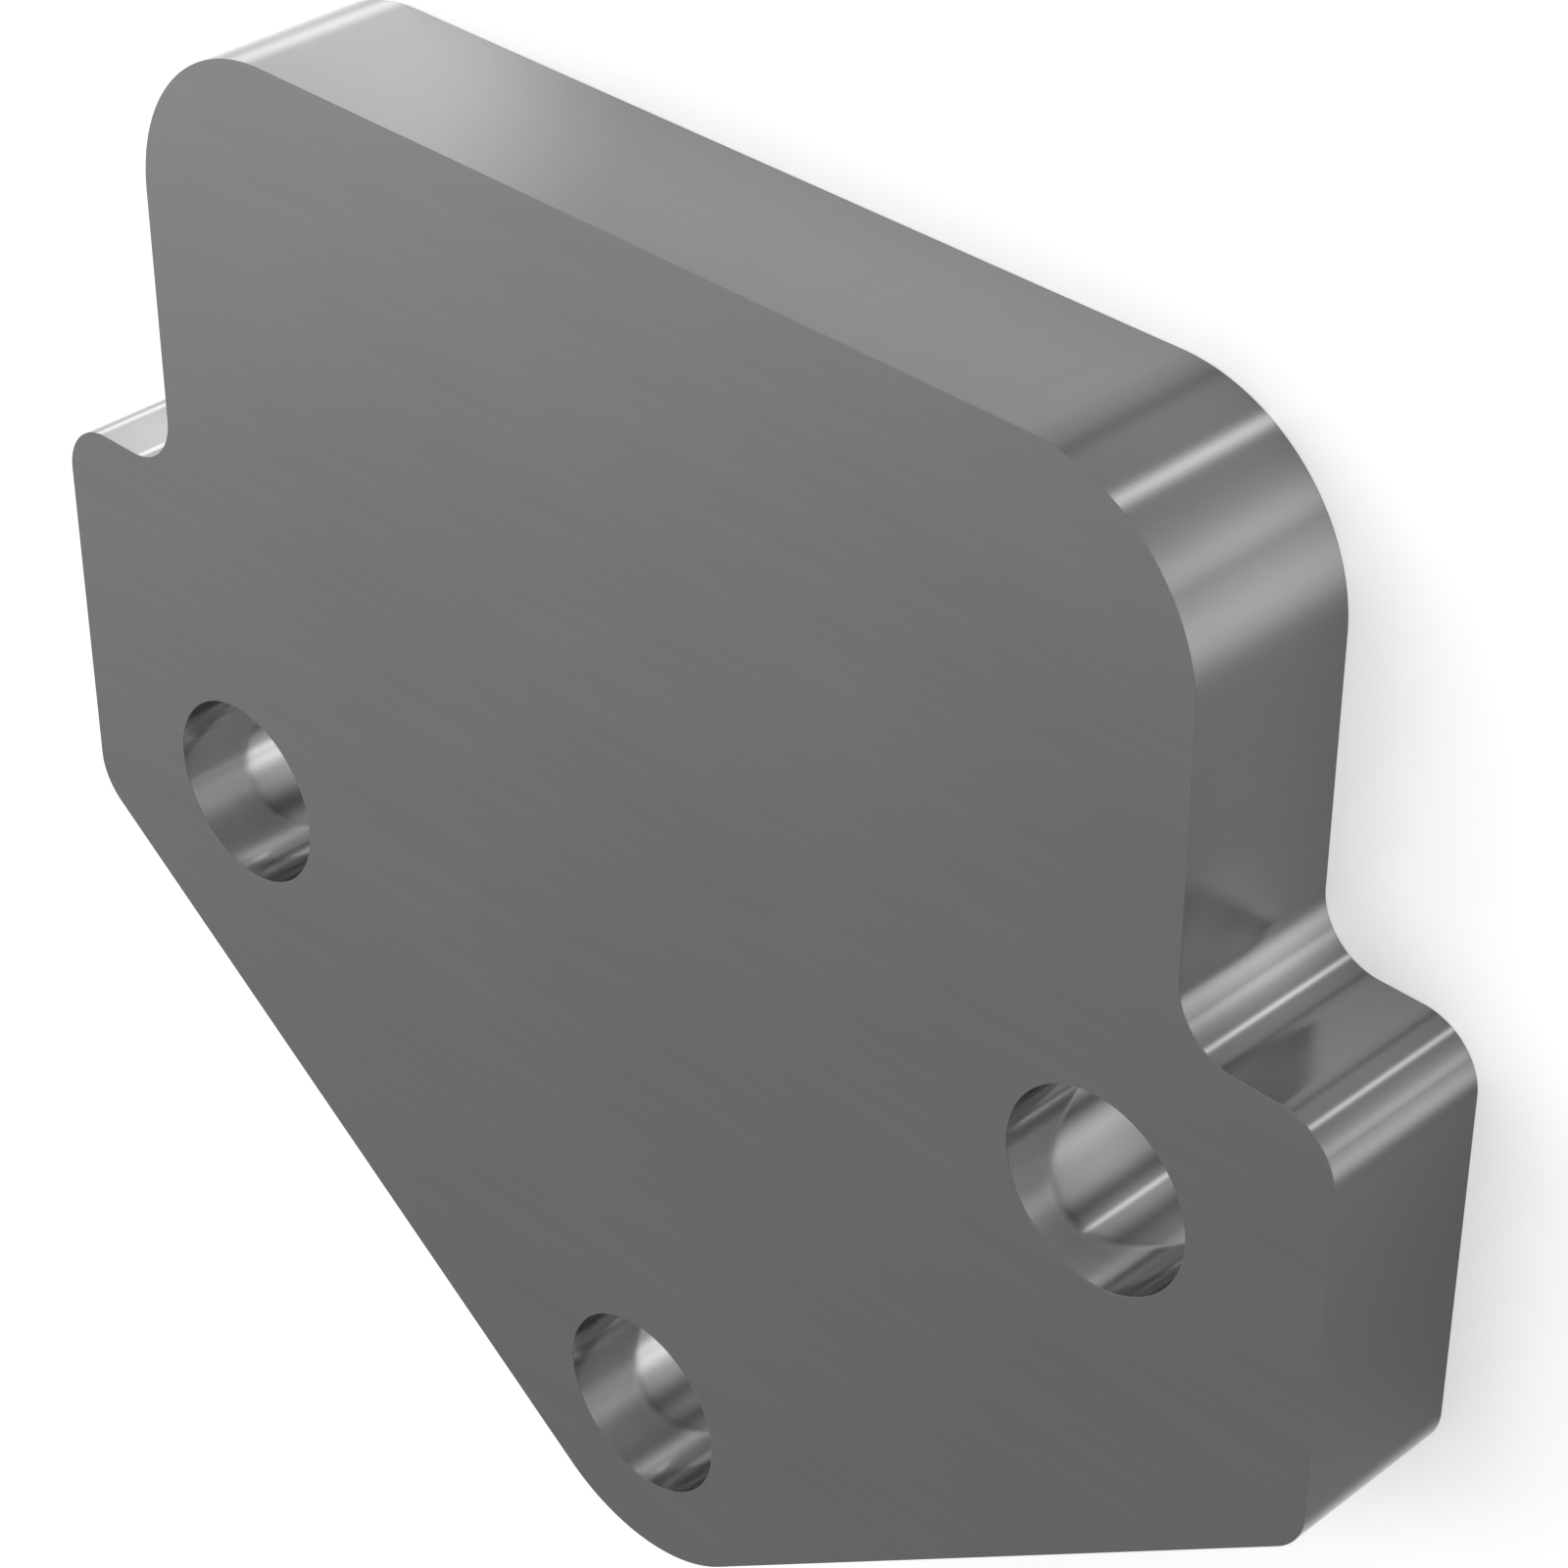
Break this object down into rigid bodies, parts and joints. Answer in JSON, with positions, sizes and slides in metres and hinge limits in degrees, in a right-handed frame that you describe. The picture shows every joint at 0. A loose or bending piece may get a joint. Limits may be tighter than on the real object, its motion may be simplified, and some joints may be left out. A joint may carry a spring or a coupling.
{
  "type": "swing rotation stop plate",
  "caption": "Flat steel plate with a round-cornered stop block between two shoulders, tapering to a round nose, and bolt holes in the ears and nose.",
  "frame": {"origin": "centre of the lower bolt hole, on the plate's back face", "axes": "+X along the length towards the ear with the higher hole, +Y towards the top edge, +Z out of the front face"},
  "size_m": [0.0842, 0.0762, 0.0095],
  "materials": {
    "plate": "satin, ground faces and milled edges"
  },
  "bodies": {
    "root": {"stop_plate": "plate"}
  },
  "joints": []
}
